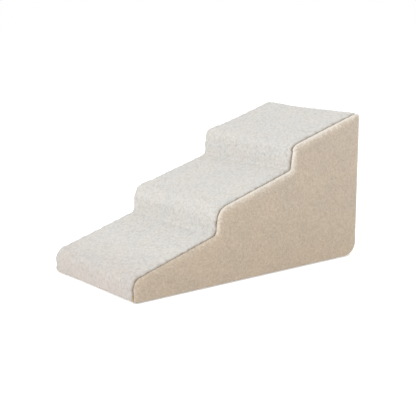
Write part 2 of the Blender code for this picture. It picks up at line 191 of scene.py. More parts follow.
def down_back(z):
    """The distance at which the path, on its way down the back, is at height z."""
    return np.interp(-z, -path_points[down_the_back, 1], path_s[down_the_back])


S_FRONT_SEAM = -FRONT_SEAM_X
S_BACK_SEAM = PATH_LENGTH - BACK_SEAM_X
S_TOP_SEAM = down_back(TOP_SEAM_Z)
S_WINDOW_TOP, S_WINDOW_BOTTOM = down_back(WINDOW_TOP), down_back(WINDOW_BOTTOM)
print(f"seams at {S_FRONT_SEAM:.3f}, {S_TOP_SEAM:.3f} and {S_BACK_SEAM:.3f} m")

# %% The far seam sits lower than the near one
FAR_SHIFT = 6 * MM


def ease(value, start, end):
    """0 before start, 1 after end, and a smooth step between them."""
    share = np.clip((value - start) / (end - start), 0, 1)
    return share * share * (3 - 2 * share)


def slipped(s):
    """How much of the shift there is: all of it over the treads, none at base and back."""
    s = np.mod(s, PATH_LENGTH)
    past_front = ease(s, S_FRONT_SEAM, S_FRONT_SEAM + 22 * MM)
    return past_front * ease(-s, -S_TOP_SEAM, 12 * MM - S_TOP_SEAM)


def wander(s, side):
    """How far a hand-guided seam strays: two slow waves, larger where it joins plush."""
    turns = 2 * np.pi * s / PATH_LENGTH
    amount = (0.4 + 0.8 * slipped(s)) * MM
    return amount * (np.sin(61 * turns + side) + 0.6 * np.sin(97 * turns + 2 * side))


print("the plush reaches", round(1000 * FAR_SHIFT, 1), "mm further on the left")

# %% [markdown]
# ## Repeatable randomness
#
# A pile is random, but this script must give the same ramp every time. So there is no
# random generator: a point in space is turned into whole numbers, and those are
# scrambled. Noise made like that also has no seams, because it depends on where a
# point is and not on how a surface was unrolled.

# %% Scrambled numbers and smooth noise
def scatter(cells, seed):
    """A repeatable number from 0 to 1 for each row of three whole numbers."""
    n = cells @ np.array((374761393, 668265263, 1274126177)) + seed * 362437
    n = (n ^ (n >> 13)) * 1103515245
    n = (n ^ (n >> 16)) & 0xFFFFFF
    return n / 0xFFFFFF


def smooth_noise(points, size, seed):
    """Noise from -1 to 1: random values at the corners of cubes, eased across each."""
    place = points / size
    cell = np.floor(place).astype(np.int64)
    share = place - cell
    share = share * share * (3 - 2 * share)
    total = np.zeros(points.shape[:-1])
    for corner in itertools.product((0, 1), repeat=3):
        weight = np.prod(np.where(corner, share, 1 - share), axis=-1)
        total += weight * scatter(cell + np.array(corner), seed)
    return 2 * total - 1


def tuft_distance(points, size, seed):
    """How far each point is from the nearest of many scattered tufts, in tuft sizes."""
    place = points / size
    cell = np.floor(place).astype(np.int64)
    nearest = np.full(points.shape[:-1], 9.0)
    for step in itertools.product((-1, 0, 1), repeat=3):
        near = cell + np.array(step)
        centre = near + np.stack([scatter(near, seed + k) for k in range(3)], axis=-1)
        nearest = np.minimum(nearest, ((place - centre) ** 2).sum(axis=-1))
    return np.sqrt(nearest)

# %% [markdown]
# ## Two piles
#
# The treads are covered in a curly plush: clumps about 7 mm across with darker creases
# between them. The sides are in a short, even teddy cloth with a finer grain. Both
# heights come from the same idea, domes round scattered points, pushed about by noise
# so that no dome is round.

# %% Heights of the two piles
def plush_height(points):
    """Curly plush, about 0 to 1: bent domes 7 mm apart, with a finer roughness on them."""
    bend = [smooth_noise(points, 5.5 * MM, 11 + k) for k in range(3)]
    bent = points + 2.6 * MM * np.stack(bend, axis=-1)
    dome = 1.15 - tuft_distance(bent, 7 * MM, 31)
    return 0.8 * dome + 0.16 * smooth_noise(points, 3.2 * MM, 47)


def teddy_height(points):
    """Short teddy pile, about 0 to 1: small domes 5 mm apart under an uneven nap."""
    bend = [smooth_noise(points, 4.5 * MM, 61 + k) for k in range(3)]
    bent = points + 1.6 * MM * np.stack(bend, axis=-1)
    dome = 1.1 - tuft_distance(bent, 5 * MM, 71)
    return 0.6 * dome + 0.3 * smooth_noise(points, 3.6 * MM, 83)


sample = np.stack([np.linspace(0, 0.3, 3000), np.zeros(3000), np.zeros(3000)], axis=1)
for pile_name, pile in (("plush", plush_height), ("teddy", teddy_height)):
    heights = pile(sample)
    print(f"{pile_name}: heights {heights.min():.2f} to {heights.max():.2f}")

# %% [markdown]
# ## From numbers to meshes
#
# Every surface here is a grid: rows along one direction, columns along the other, and
# four neighbours make a face. A tube or a cushion is the same grid with its last
# column joined to its first. A few small functions do this for all the pieces, and
# check that the faces look outwards: the volume inside a closed mesh comes out
# negative when they don't.

# %% Faces of a grid, and the space they enclose
def vertex_numbers(rows, columns):
    """The numbers of a grid of vertices, row by row."""
    return np.arange(rows * columns).reshape(rows, columns)


def grid_faces(numbers, join_rows=False, join_columns=False):
    """The four corners of each cell in a grid of vertex numbers."""
    if join_rows:
        numbers = np.concatenate((numbers, numbers[:1]))
    if join_columns:
        numbers = np.concatenate((numbers, numbers[:, :1]), axis=1)
    corners = (numbers[:-1, :-1], numbers[1:, :-1], numbers[1:, 1:], numbers[:-1, 1:])
    return np.stack(corners, axis=-1).reshape(-1, 4)


def enclosed(points, faces):
    """Six times the volume that flat faces add: their area vectors times their places."""
    around = points[faces]
    area = np.cross(around, np.roll(around, -1, axis=1)).sum(axis=1)
    return (area * around.mean(axis=1)).sum()

# %% Into the scene
def put_in_scene(name, data):
    """A new object in the scene that holds the data, at the origin."""
    made = bpy.data.objects.new(name, data)
    bpy.context.scene.collection.objects.link(made)
    return made


def smooth_piece(name, mesh, sharp_from):
    """The mesh in the scene, smooth but for edges that turn by more degrees than that."""
    mesh.shade_smooth()
    mesh.set_sharp_from_angle(angle=np.radians(sharp_from))
    return put_in_scene(name, mesh)

# %% Points and faces into a piece
def add_piece(name, points, quads, caps=(), pile=None, cloth=None):
    """A smooth closed mesh of quads and end caps, with its faces looking outwards.

    pile is one number for each vertex, kept for the material to read: on the cover, the pile
    height with painted seam shade and a painted highlight mixed in. cloth is the place of each
    vertex on the unrolled cloth in metres, kept as its UV map.
    """
    points = points.reshape(-1, 3)
    caps = [np.asarray(cap) for cap in caps]
    inside = enclosed(points, quads) + sum(enclosed(points, cap[None]) for cap in caps)
    if inside < 0:
        quads, caps = quads[:, ::-1], [cap[::-1] for cap in caps]
    corners = np.concatenate([quads.ravel(), *caps]).astype(np.int32)
    sizes = np.array([4] * len(quads) + [len(cap) for cap in caps])
    mesh = bpy.data.meshes.new(name)
    mesh.vertices.add(len(points))
    mesh.vertices.foreach_set("co", points.ravel())
    mesh.loops.add(len(corners))
    mesh.loops.foreach_set("vertex_index", corners)
    mesh.polygons.add(len(sizes))
    starts = np.concatenate(((0,), np.cumsum(sizes)[:-1])).astype(np.int32)
    mesh.polygons.foreach_set("loop_start", starts)
    mesh.update(calc_edges=True)
    if pile is not None:
        kept = mesh.attributes.new("pile", "FLOAT", "POINT")
        kept.data.foreach_set("value", np.ravel(pile).astype(np.float32))
    if cloth is not None:
        unrolled = mesh.uv_layers.new(name="cloth")
        unrolled.data.foreach_set("uv", cloth.reshape(-1, 2)[corners].ravel())
    print(f"{name}: {len(points)} vertices, {(sizes - 2).sum()} triangles")
    return smooth_piece(name, mesh, 50)

# %% Placing a piece in the model
def fit_piece(piece, body, slot, finish, *nodes):
    """The piece rides on a body, takes a finish, and stands for the nodes named."""
    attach(piece, body)
    if nodes:
        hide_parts(*nodes)
    piece.data.materials.append(finish)


def fit_padding(piece, slot, finish, node):
    """The same for a padded piece of the ramp, which is full and tight."""
    fit_piece(piece, "ramp", slot, finish, node)

# %% [markdown]
# ## Finishes: small tools
#
# Each finish is a node tree round one Principled shader. Most trees want the same few
# things: a noise, a colour that changes with a number, and a bump. Each helper makes
# one of them in a line, so that a finish reads like a recipe.
#
# Patterns are placed by the object's own coordinates, in metres. A noise of size
# 2 mm has a scale of 500 to the metre, so the helpers take sizes and not scales.

# %% Nodes that make patterns
class Patterns:
    """The node tree of one material, and the pattern nodes that it is built from."""

    def __init__(self, name):
        self.material = bpy.data.materials.new(name)
        self.material.use_nodes = True
        self.tree = self.material.node_tree

    def feed(self, socket, value):
        """An input linked to another node's socket, or set to one value."""
        if isinstance(value, bpy.types.NodeSocket):
            self.tree.links.new(value, socket)
        else:
            socket.default_value = value

    def node(self, kind, **values):
        """A node of that kind, with each named input fed."""
        made = self.tree.nodes.new(kind)
        for name, value in values.items():
            self.feed(made.inputs[name.replace("_", " ").title()], value)
        return made

    def place(self):
        """Where the point is in the object, in metres."""
        return self.node("ShaderNodeTexCoord").outputs["Object"]

    def noise(self, size, detail=2.0, roughness=0.5, distortion=0.0):
        """Cloudy noise, 0 to 1, whose blotches are about size across."""
        made = self.node("ShaderNodeTexNoise", vector=self.place(), scale=1 / size,
                         detail=detail, roughness=roughness, distortion=distortion)
        return made.outputs["Fac"]

    def cells(self, size, scattered=1.0):
        """Distance to the nearest of many points about size apart, scattered or in rows."""
        made = self.node("ShaderNodeTexVoronoi", vector=self.place(), scale=1 / size,
                         randomness=scattered)
        return made.outputs["Distance"]

    def math(self, operation, a, b=0.5):
        """One sum on two numbers or sockets."""
        made = self.tree.nodes.new("ShaderNodeMath")
        made.operation = operation
        for socket, value in zip(made.inputs, (a, b)):
            self.feed(socket, value)
        return made.outputs[0]

    def ramp(self, value, *stops):
        """A colour for each value: stops are (value, (red, green, blue)) pairs."""
        made = self.node("ShaderNodeValToRGB", fac=value)
        elements = made.color_ramp.elements
        while len(elements) < len(stops):
            elements.new(0.5)
        for element, (position, colour) in zip(elements, stops):
            element.position = position
            element.color = (*colour, 1)
        return made.outputs["Color"]

    def clouds(self, size, dim, bright):
        """Wide, soft patches of two colours, each about size across."""
        return self.ramp(self.noise(size), (0.3, dim), (0.7, bright))

    def blend(self, kind, amount, a, b):
        """Two colours mixed in the way named, such as MIX, MULTIPLY or OVERLAY."""
        made = self.tree.nodes.new("ShaderNodeMix")
        made.data_type = "RGBA"
        made.blend_type = kind
        self.feed(made.inputs[0], amount)
        for socket, value in zip(made.inputs[6:8], (a, b)):
            self.feed(socket, (*value, 1) if isinstance(value, tuple) else value)
        return made.outputs[2]

# %% A finish round one shader
class Finish(Patterns):
    """A Principled material under construction: patterns go into its shader."""

    def __init__(self, name, roughness, sheen=0.0, metallic=0.0):
        super().__init__(name)
        self.shader = self.tree.nodes["Principled BSDF"]
        self.set("Roughness", roughness)
        self.set("Metallic", metallic)
        self.set("Sheen Weight", sheen)
        self.set("Sheen Roughness", 0.5)

    def set(self, name, value):
        """A socket of the shader, linked to a pattern or set to one value."""
        self.feed(self.shader.inputs[name], value)

    def tinted(self, colour, *tints):
        """The colour of the surface, multiplied by each tint in turn."""
        for tint in tints:
            colour = self.blend("MULTIPLY", 1.0, colour, tint)
        self.set("Base Color", colour)

    def relief(self, *layers):
        """Bumps laid over one another, coarse to fine: (height, depth in metres) pairs."""
        under = None
        for height, depth in layers:
            bump = self.node("ShaderNodeBump", height=height, distance=depth, strength=1.0)
            if under is not None:
                self.feed(bump.inputs["Normal"], under)
            under = bump.outputs["Normal"]
        self.set("Normal", under)


print("finish helpers ready")

# %% [markdown]
# ## The two pile cloths
#
# A pile looks soft for three reasons. Light gets lost between the fibres, so creases
# are darker and warmer than tips: the height that was kept on each vertex drives that.
# The nap lies this way and that, so there are wide, faint clouds of light and shade.
# And fibres catch light at a grazing angle, which the shader's sheen gives.

# %% The recipe of a pile finish
def pile_finish(name, shades, clouds, grain, grain_depth, curl_depth, fibre_share, foot,
                foot_reach):
    """A pile: painted seam shade, crease, tip and painted highlight, then clouds of nap, then
    fibres.

    The foot colour makes the cover darker and warmer near the floor, and foot_reach is the height
    where that begins to fade and the height where it is gone.
    The kept height runs from 0 in a seam, where shade is painted, over 0.25 in a crease and 0.6 on
    a tip, to 1 on a rolled edge, where a highlight is painted.
    """
    made = Finish(name, roughness=1.0, sheen=0.2)
    # The kept height carries the pile, and also the painted seam shade and the painted highlight.
    height = made.node("ShaderNodeAttribute")
    height.attribute_name = "pile"
    fibre = made.noise(grain, detail=3.0, roughness=0.65, distortion=0.6)
    level = made.math("ADD", height.outputs["Fac"],
                      made.math("MULTIPLY", made.math("SUBTRACT", fibre, 0.5), fibre_share))
    body = made.ramp(level, *zip((0.02, 0.25, 0.6, 0.95), shades))
    wide = made.clouds(55 * MM, *clouds)
    split = made.node("ShaderNodeSeparateXYZ", vector=made.place())
    low, high = np.array(foot_reach) / RAMP_HEIGHT
    part_way_up = made.math("MULTIPLY", split.outputs["Z"], 1 / RAMP_HEIGHT)
    # Darker and warmer towards the floor, fading out between the two heights of foot_reach.
    low_tint = made.ramp(part_way_up, (low, foot), (high, (1, 1, 1)))
    made.tinted(body, wide, low_tint)
    made.relief((made.cells(3 * grain), curl_depth), (fibre, grain_depth))
    return made.material

# %% Plush white and teddy beige
def shade(pile, painted_seam_shade=0.0, painted_highlight=0.0):
    """The kept height: pile mapped to crease and tip, darker where seam shade is painted, paler
    where a highlight is painted.
    """
    return np.clip(0.28 + 0.4 * np.maximum(pile, 0) - 0.5 * painted_seam_shade + 0.35 * painted_highlight, 0, 1)


# Shades in order: painted seam shade, crease, tip, painted highlight.
plush_white = pile_finish(
    "plush_white",
    shades=((0.40, 0.355, 0.30), (0.50, 0.48, 0.45), (0.683, 0.666, 0.637), (0.74, 0.72, 0.695)),
    clouds=((0.96, 0.97, 0.975), (1.0, 0.985, 0.965)),
    foot=(0.85, 0.80, 0.78), foot_reach=(0.035, 0.09),
    grain=1.3 * MM, grain_depth=0.5 * MM, curl_depth=0.6 * MM, fibre_share=0.6)
teddy_beige = pile_finish(
    "teddy_beige",
    shades=((0.31, 0.25, 0.185), (0.395, 0.326, 0.257), (0.52, 0.445, 0.362), (0.73, 0.69, 0.63)),
    clouds=((0.94, 0.94, 0.95), (1.0, 0.985, 0.965)),
    foot=(0.945, 0.925, 0.88), foot_reach=(0.05, 0.36),
    grain=1.0 * MM, grain_depth=0.5 * MM, curl_depth=0.45 * MM, fibre_share=0.85)
print("finishes:", plush_white.name, teddy_beige.name)

# %% [markdown]
# ## A panel of the cover
#
# A sewn panel isn't a flat strip. Its edges are turned in and held by the seam, so the
# surface rolls down into a groove there, the stitches tug it every few millimetres,
# and between the seams it stands up on the foam. All of that is one height, measured
# outwards from the outline: a roll near each edge, a tug at each stitch, and the pile.
#
# Cloth simulation could puff such a panel, but it would also soften the crisp stepped
# outline that the foam gives this one. Heights worked out directly keep the outline.

# %% The height of a panel
STITCH = PATH_LENGTH / round(PATH_LENGTH / (7.5 * MM))


def roll(distance, reach, depth):
    """How far cloth sinks near an edge: a quarter of an ellipse, and nothing past reach."""
    near = np.clip(1 - distance / reach, 0, 1)
    return depth * (1 - np.sqrt(1 - near ** 2))


def tug(along, distance):
    """How far stitches pull the cloth in: a wave once a stitch, fading from the seam."""
    spot = np.stack([along, 0 * along, 0 * along], axis=-1)
    uneven = 0.75 + 0.5 * smooth_noise(spot, 2 * STITCH, 7)
    wave = 0.5 + 0.5 * np.cos(2 * np.pi * along / STITCH)
    return 1.5 * MM * uneven * wave * np.exp(-distance / (4.5 * MM))


def spaced(length, step, edge, edge_steps=6):
    """Places from 0 to length: crowded near both ends, and a step apart between."""
    near = edge * (1 - np.cos(np.linspace(0, np.pi / 2, edge_steps)))
    count = max(int((length - 2 * edge) / step), 2)
    middle = np.linspace(edge, length - edge, count + 1)[1:-1]
    return np.concatenate((near, middle, length - near[::-1]))


print(f"a stitch every {1000 * STITCH:.2f} mm")

# %% How full a panel is stuffed
def fullness(s, y, slip):
    """The plush is fuller towards its far edge, and most of all over the far nosings."""
    over_nosing = sum(np.exp(-((s - nearest_s(x, z) - 8 * MM) / (34 * MM)) ** 2)
                      for x, z, _ in CORNERS[[3, 5]])
    return slip * (4.5 + 3.5 * over_nosing)[:, None] * MM * ease(y, 40 * MM, PANEL_HALF_WIDTH)

# %% A closed strip
def strip(name, face, back, cloth, kept=None):
    """A closed strip: each row runs across the face and returns along the back."""
    points = np.concatenate((face, back[:, ::-1]), axis=1)
    numbers = vertex_numbers(*points.shape[:2])
    return add_piece(name, points, grid_faces(numbers, join_columns=True),
                     (numbers[0], numbers[-1]), kept, cloth)

# %% A panel of the cover
SIDE_ROLL = 5 * MM
# How strong the painted seam shade is: shade painted into the cloth's colour beside a seam.
SEAM_SHADE = 1.3


def panel(name, s_from, s_to, thickness, height, step, pile_depth, end_roll,
          wave=0.9 * MM, ragged_by=0.3, shade_reach=1.5 * MM):
    """A panel along the path: rolled edges, pile on its face, plain behind.

    Row by row along the path, the face runs across the width at a height above the outline, and
    the back returns at the panel's thickness below it. ragged_by is how uneven the edge beside a
    seam is, and shade_reach how far the painted seam shade reaches into the cloth.
    """
    s = s_from + spaced(s_to - s_from, step, end_roll[0])
    share = spaced(2 * PANEL_HALF_WIDTH, step, 9 * MM) / (2 * PANEL_HALF_WIDTH)
    slip = slipped(s)[:, None]
    right_edge = -PANEL_HALF_WIDTH - wander(s, -1)[:, None]
    left_edge = PANEL_HALF_WIDTH + FAR_SHIFT * slip + wander(s, 1)[:, None]
    y = right_edge + share * (left_edge - right_edge)
    at, out = on_path(s)
    base = np.empty((*y.shape, 3))
    base[..., 0], base[..., 1], base[..., 2] = at[:, :1], y, at[:, 1:]
    from_side = np.minimum(y - right_edge, left_edge - y)
    from_end = np.minimum(s - s_from, s_to - s)[:, None]
    pile = height(base)
    settled = np.clip(np.minimum(from_side / (3 * MM), from_end / (7 * MM)), 0.3, 1)
    ragged = 1 + ragged_by * smooth_noise(base, 8 * MM, 23)
    # Painted seam shade: the cloth is coloured darker along the seamed sides and ends, in an
    # uneven band.
    painted_seam_shade = SEAM_SHADE * (np.exp(-from_side * ragged / shade_reach) + np.exp(-from_end / (1.2 * MM)))
    raised = pile_depth * (pile - 0.45) * settled + wave * smooth_noise(base, 90 * MM, 5)
    raised += fullness(s, y, slip)
    far = slip * (y > 0)
    ragged = 1 + (ragged - 1) * (1 - 0.8 * far)
    raised -= roll(from_side * ragged, (8 + 8 * far) * MM, SIDE_ROLL + 5 * MM * far)
    raised -= roll(from_end, *end_roll) + tug(s[:, None] + 0 * y, from_side)
    face = base.copy()
    face[..., 0] += out[:, :1] * raised
    face[..., 2] = np.maximum(face[..., 2] + out[:, 1:] * raised, 0.5 * MM)
    back = np.empty((len(s), 5, 3))
    back[..., 0] = (at - thickness * out)[:, :1]
    back[..., 1] = np.linspace(-PANEL_HALF_WIDTH, PANEL_HALF_WIDTH, 5)
    back[..., 2] = (at - thickness * out)[:, 1:]
    kept = np.concatenate((shade(pile, painted_seam_shade), np.full((len(s), 5), 0.1)), axis=1)
    across = np.concatenate((y, back[:, ::-1, 1]), axis=1)
    cloth = np.stack(np.broadcast_arrays(s[:, None], across), axis=-1)
    return strip(name, face, back, cloth, kept)

# %% [markdown]
# ## The tread cloth and the back
#
# One strip of plush starts under the front foot, climbs the lip, lies over the three
# treads and two risers, and turns down the back as far as the seam behind the top edge.
# The back is teddy cloth in two pieces, above and below the zip.

# %% Tread, back and strip panels
tread_cloth = panel("tread_cloth", S_FRONT_SEAM, S_TOP_SEAM, 5 * MM, plush_height,
                    2.1 * MM, 2.8 * MM, (6 * MM, 3 * MM), ragged_by=0.75, shade_reach=3.4 * MM)
fit_padding(tread_cloth, "plush_white", plush_white, "tread_panel")
back_cloth = panel("back_cloth", S_TOP_SEAM, S_WINDOW_TOP, 3.5 * MM, teddy_height,
                   2.3 * MM, 1.3 * MM, (5 * MM, 2.6 * MM))
fit_padding(back_cloth, "teddy_beige", teddy_beige, "back_panel")
back_strip_cloth = panel("back_strip_cloth", S_WINDOW_BOTTOM, S_BACK_SEAM, 3.5 * MM,
                         teddy_height, 2.3 * MM, 1.3 * MM, (5 * MM, 2.6 * MM))
fit_padding(back_strip_cloth, "teddy_beige", teddy_beige, "back_strip")

# %% [markdown]
# ## The two side panels
#
# A side is a flat stepped shape with a soft edge all round it. The edge is a profile
# carried round the outline: it starts in the seam, comes up, rolls over and flattens
# out into the side. The profile is a cubic curve with four handles.
#
# Inside that edge the face has to be filled. A fan of triangles would give long thin
# faces that a pile can't sit on. So the fill is a grid with four sides (the front lip,
# the stepped top, the back and the base), and each inner point is blended from the
# points straight across from it on those sides.

# %% The outline in four sides
N_TREAD, N_RISER, N_HIGH = 128, 28, 160
N_LONG = 3 * N_TREAD + 2 * N_RISER


def even_steps(marks, counts):
    """Distances through the marks, with so many equal steps from each to the next."""
    stretches = [np.linspace(a, b, n, endpoint=False)
                 for a, b, n in zip(marks, marks[1:], counts)]
    return np.concatenate(stretches)


foot, lip, *steps_up, top, heel = (nearest_s(x, z) for x, z, _ in CORNERS)
riser_x = (-HALF_LENGTH + RUN, -HALF_LENGTH + 2 * RUN)
under_risers = [PATH_LENGTH - x - lead for x in riser_x[::-1] for lead in (46 * MM, 8 * MM)]
long_counts = [N_TREAD, N_RISER, N_TREAD, N_RISER, N_TREAD]
ring_s = np.concatenate((
    even_steps([foot, lip], [N_HIGH]),
    even_steps([lip, *steps_up, top], long_counts),
    even_steps([top, heel], [N_HIGH]),
    even_steps([heel, *under_risers, PATH_LENGTH + foot], long_counts) % PATH_LENGTH,
))
print("points round a side panel:", len(ring_s))

# %% The grid that fills a side
def four_sides(ring):
    """The front, top, back and base of a ring, each read from the front or from below."""
    ring = np.concatenate((ring, ring[:1]))
    ends = np.cumsum((0, N_HIGH, N_LONG, N_HIGH, N_LONG))
    left, high, right, low = (ring[a:b + 1] for a, b in zip(ends, ends[1:]))
    return left, high, right[::-1], low[::-1]


def fill_numbers(ring):
    """A grid of vertex numbers whose outer ones are the ring, and inner ones are new."""
    grid = np.empty((N_HIGH + 1, N_LONG + 1), dtype=np.int64)
    grid[1:-1, 1:-1] = vertex_numbers(N_HIGH - 1, N_LONG - 1) + ring.max() + 1
    grid[:, 0], grid[-1], grid[:, -1], grid[0] = four_sides(ring)
    return grid


def fill_points(edge):
    """Points inside a closed ring of four sides, blended from the sides across from them.

    A point is the mix of bottom and top, plus the mix of left and right, less the mix
    of the four corners, which those two have both counted.
    """
    left, high, right, low = four_sides(edge)
    u = np.linspace(0, 1, N_LONG + 1)[None, :, None]
    v = np.linspace(0, 1, N_HIGH + 1)[:, None, None]
    across = (1 - v) * low[None] + v * high[None] + (1 - u) * left[:, None] + u * right[:, None]
    corners = (1 - v) * ((1 - u) * low[0] + u * low[-1]) + v * ((1 - u) * high[0] + u * high[-1])
    return across - corners

# %% The profile of a side panel's rolled edge
N_RINGS = 14
FACE_INSET = 9 * MM
ROLL_HANDLES = np.array([(-4.5, 0.3), (0.0, 0.8), (2.2, 9.2), (-9.0, 10.2)]) * MM
SLIPPED_HANDLES = np.array([(-7.0, 6.3), (-3.2, 6.3), (-2.6, 10.0), (-9.0, 10.2)]) * MM


def rolled_edge(t, slip):
    """Places and normals on a cubic curve: out of the outline, and out from the seam."""
    a, b, c, d = ((ROLL_HANDLES + (SLIPPED_HANDLES - ROLL_HANDLES) * slip[:, None, None])
                  .transpose(1, 0, 2)[:, None])
    t = t[:, None, None]
    at = (1 - t) ** 3 * a + 3 * (1 - t) ** 2 * t * b + 3 * (1 - t) * t ** 2 * c + t ** 3 * d
    along = (1 - t) ** 2 * (b - a) + 2 * (1 - t) * t * (c - b) + t ** 2 * (d - c)
    along = along / np.linalg.norm(along, axis=-1, keepdims=True)
    return at, np.stack((along[..., 1], -along[..., 0]), axis=-1)


print("rings in a rolled edge:", N_RINGS)

# %% The rings of the rolled edge
def highlight_by_height(z):
    """How strong the painted highlight on the rolled edge is at a height: little at the foot, all
    of it higher up.
    """
    return 0.35 + 0.65 * ease(z, 70 * MM, 230 * MM)


def side_rim(side):
    """The rings of the rolled edge, the first two hidden, and the shade of each point."""
    at, out = on_path(ring_s)
    slip = slipped(ring_s) * (side > 0)
    profile, lean = rolled_edge(np.linspace(0, 1, N_RINGS) ** 1.2, slip)
    from_seam = profile[..., 1] - FAR_SHIFT * slip
    stray = wander(ring_s, side) * np.exp(-from_seam / (4 * MM))
    profile = profile + np.stack((0 * stray, stray), axis=-1)
    edge, away = np.empty((2, N_RINGS, len(ring_s), 3))
    edge[..., [0, 2]] = at + profile[..., :1] * out
    edge[..., 1] = side * (SIDE_EDGE + profile[..., 1])
    away[..., [0, 2]] = lean[..., :1] * out
    away[..., 1] = side * lean[..., 1]
    pile = teddy_height(edge)
    rise = 1.1 * MM * (pile - 0.45) * np.clip(from_seam / (5 * MM), 0.3, 1)
    rise -= tug(ring_s + 0 * pile, from_seam)
    under_pull = (abs(edge[..., 2] - ZIP_Z) < 12 * MM) & (edge[..., 0] > HALF_LENGTH - 4 * MM)
    rise = np.where(under_pull, np.minimum(rise, -0.1 * MM) - 0.6 * MM, rise)
    edge += away * rise[..., None]
    hidden = np.empty((2, len(ring_s), 3))
    hidden[..., [0, 2]] = at - ((4.6 + 2.8 * slip) * MM)[:, None] * out
    hidden[0, :, 1] = side * (SIDE_EDGE + 6 * MM)
    hidden[1, :, 1] = side * (SIDE_EDGE + (0.3 + 6 * slip) * MM + wander(ring_s, side))
    # Painted seam shade: the cloth is coloured darker close to the seam, in an uneven band.
    ragged = 1 + 0.4 * smooth_noise(edge, 8 * MM, 29)
    painted_seam_shade = SEAM_SHADE * np.exp(-from_seam * ragged / (1.5 * MM))
    # A painted highlight along the shoulder of the roll, strongest beside the treads and higher
    # up.
    painted_highlight = np.exp(-((np.arange(N_RINGS)[:, None] - 8) / 5) ** 2)
    painted_highlight = painted_highlight * (0.5 + 1.2 * slipped(ring_s)) * highlight_by_height(edge[..., 2])
    shades = np.concatenate((np.full((2, len(ring_s)), 0.1), shade(pile, painted_seam_shade, painted_highlight)))
    return np.concatenate((hidden, edge)), shades

# %% The crowned face of a side panel
def from_sides(flat):
    """How far each point of the side is from the nearest straight side of the outline."""
    starts, nearest = CORNERS[:, :2], np.full(flat.shape[:2], 9.0)
    for start, end in zip(starts, np.roll(starts, -1, axis=0)):
        span = end - start
        share = np.clip((flat - start) @ span / (span @ span), 0, 1)
        away = flat - start - share[..., None] * span
        nearest = np.minimum(nearest, np.linalg.norm(away, axis=-1))
    return nearest


def side_face(side):
    """The crowned face: it bulges with the distance from its nearest edges."""
    at, out = on_path(ring_s)
    flat = fill_points(at - FACE_INSET * out)
    face = np.stack((flat[..., 0], np.full(flat.shape[:2], side * HALF_WIDTH), flat[..., 1]), -1)
    inside = np.maximum(from_sides(flat) - FACE_INSET, 0)
    row, column = np.ogrid[:N_HIGH + 1, :N_LONG + 1]
    steps_in = np.minimum(np.minimum(row, N_HIGH - row), np.minimum(column, N_LONG - column))
    crown = 2.2 * MM * (1 - np.exp(-inside / (22 * MM))) * ease(steps_in, 0, 8)
    pile = teddy_height(face)
    face[..., 1] += side * (0.2 * MM + crown + 1.1 * MM * (pile - 0.45))
    off_floor = ease(flat[..., 1], 12 * MM, 40 * MM)
    off_back = ease(-flat[..., 0], 18 * MM - HALF_LENGTH, 45 * MM - HALF_LENGTH)
    # A painted highlight near the edges of the face, fading inwards.
    painted_highlight = (0.2 + 0.7 * off_floor * off_back) * np.exp(-inside / (5 * MM)) * highlight_by_height(flat[..., 1])
    shades = shade(pile, painted_highlight=painted_highlight)
    return face[1:-1, 1:-1], shades[1:-1, 1:-1]

# %% The two side panels
def side_panel(name, side):
    """A rolled edge round the outline, filled with a slightly crowned face."""
    rim, rim_shades = side_rim(side)
    face, face_shades = side_face(side)
    numbers = vertex_numbers(*rim.shape[:2])
    fill = fill_numbers(numbers[-1])
    points = np.concatenate((rim.reshape(-1, 3), face.reshape(-1, 3)))
    points[:, 2] = np.maximum(points[:, 2], 0.5 * MM)
    quads = np.concatenate((grid_faces(numbers, join_columns=True), grid_faces(fill)[:, ::-1]))
    shades = np.concatenate((rim_shades.ravel(), face_shades.ravel()))
    return add_piece(name, points, quads, (numbers[0],), shades)


SIDES = (("right", -1), ("left", 1))
for side_name, side in SIDES:
    side_cloth = side_panel(side_name + "_side_cloth", side)
    fit_padding(side_cloth, "teddy_beige", teddy_beige, side_name + "_side_panel")

# %% [markdown]
# ## More finishes
#
# The rest of the ramp is woven cloth, thread, foam, rubber and a little metal. Woven
# cloth needs to know which way its threads run, so those pieces keep a UV map in
# metres, and two waves multiplied together give threads that pass over and under.

# %% Woven finishes
def threads(made, size, slant):
    """A wave across and a wave along the cloth, multiplied: -1 under to 1 over."""
    cloth = made.node("ShaderNodeUVMap")
    cloth.uv_map = "cloth"
    split = made.node("ShaderNodeSeparateXYZ", vector=cloth.outputs["UV"])
    along, across = split.outputs["X"], split.outputs["Y"]
    slanted = made.math("ADD", along, made.math("MULTIPLY", across, slant))
    waves = [made.math("SINE", made.math("MULTIPLY", where, 2 * np.pi / size))
             for where in (slanted, across)]
    return made.math("MULTIPLY", *waves)


def woven_finish(name, dark, pale, size, depth, slant=0.0, roughness=0.85, sheen=0.15):
    """Woven cloth: dark between the threads, pale on them, with uneven yarn."""
    made = Finish(name, roughness, sheen=sheen)
    over = made.math("MULTIPLY", made.math("ADD", threads(made, size, slant), 1.0), 0.5)
    yarn = made.noise(3 * size, detail=3.0)
    level = made.math("ADD", made.math("MULTIPLY", over, 0.6), made.math("MULTIPLY", yarn, 0.4))
    body = made.ramp(level, (0.2, dark), (0.75, pale))
    made.tinted(body, made.clouds(40 * MM, (0.93, 0.93, 0.94), (1, 0.99, 0.97)))
    made.relief((over, depth), (yarn, depth))
    return made.material


base_weave = woven_finish("base_cloth", (0.27, 0.235, 0.195), (0.46, 0.42, 0.365),
                          1.4 * MM, 0.3 * MM)
tape_twill = woven_finish("zip_tape", (0.40, 0.325, 0.245), (0.58, 0.49, 0.385),
                          1.1 * MM, 0.2 * MM, slant=1.0)
satin = woven_finish("label_satin", (0.66, 0.64, 0.60), (0.80, 0.78, 0.74),
                     0.5 * MM, 0.03 * MM, slant=4.0, roughness=0.32, sheen=0.3)
print("woven:", base_weave.name, tape_twill.name, satin.name)

